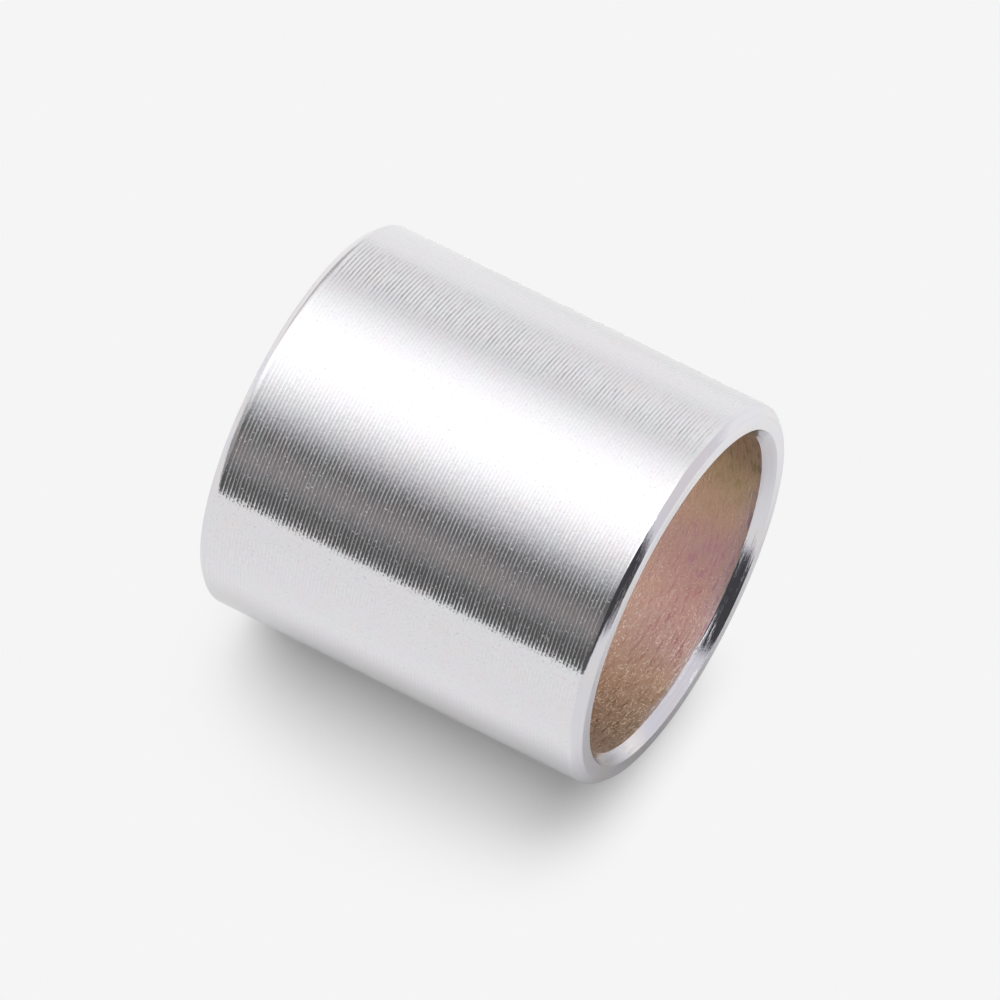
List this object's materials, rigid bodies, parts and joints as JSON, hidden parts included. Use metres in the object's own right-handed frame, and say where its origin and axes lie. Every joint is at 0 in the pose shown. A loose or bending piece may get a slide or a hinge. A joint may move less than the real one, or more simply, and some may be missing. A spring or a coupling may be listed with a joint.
{
  "type": "spacer sleeve",
  "caption": "Plain tubular spacer sleeve, turned from steel and zinc plated, with chamfered ends, to hold two parts a fixed distance apart on a bolt or shaft.",
  "frame": {"origin": "centre of the lower end face, on the axis", "axes": "+Z along the bore axis, towards the upper end; the sleeve stands on its lower end and is round about Z, so X and Y are free"},
  "size_m": [0.019, 0.019, 0.02],
  "materials": {
    "zinc_plated_steel": "turned, bright zinc plated with a clear passivation"
  },
  "bodies": {
    "root": {"sleeve": "zinc_plated_steel"}
  },
  "joints": []
}
